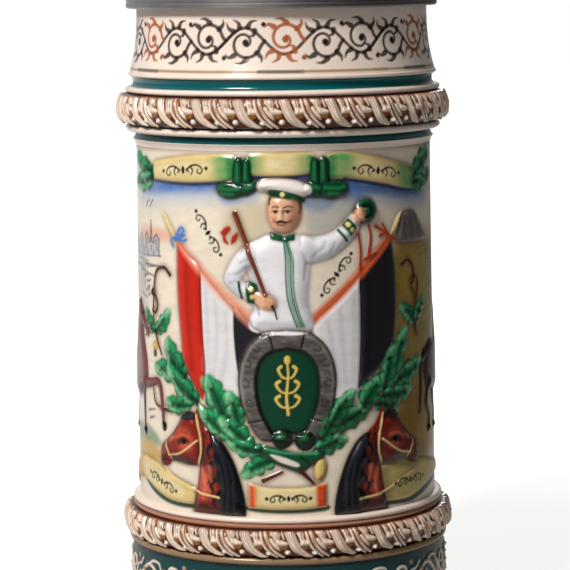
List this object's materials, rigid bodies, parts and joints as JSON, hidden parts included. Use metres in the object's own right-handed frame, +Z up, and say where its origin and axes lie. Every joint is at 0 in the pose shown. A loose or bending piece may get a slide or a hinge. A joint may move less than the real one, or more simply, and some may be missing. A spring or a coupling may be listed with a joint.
{
  "type": "lidded beer stein",
  "caption": "Tall glazed pottery stein with leaf-moulded rolls round neck and foot, an ear handle and a domed pewter lid that a thumblift opens on a hinge.",
  "frame": {"origin": "centre of the vessel's flat base, on the surface that it stands on", "axes": "+Z up the vessel's axis; -Y the picture side that the picture shows; +Y the handle and hinge side"},
  "size_m": [0.0888, 0.1293, 0.2202],
  "materials": {
    "pottery": "cream glaze over relief, hand painted",
    "pewter": "cast and turned pewter, dulled by age",
    "steel": "drawn steel"
  },
  "bodies": {
    "stein": {"vessel": "pottery", "handle": "pottery", "handle_strap": "pewter", "hinge_pin": "steel", "hinge_cap_left": "pewter", "hinge_cap_right": "pewter"},
    "lid": {"lid_rim": "pewter", "lid_dome": "pewter", "lid_shank": "pewter", "thumblift": "pewter", "finial_socle": "pewter", "finial_knob": "pewter", "finial_stud": "steel", "finial_nut": "pewter"}
  },
  "joints": [
    {"name": "lid_hinge", "type": "hinge", "parent": "stein", "child": "lid", "pos_m": [0, 0.0485, 0.1656], "axis": [-1, 0, 0], "range_deg": [0, 105]}
  ]
}
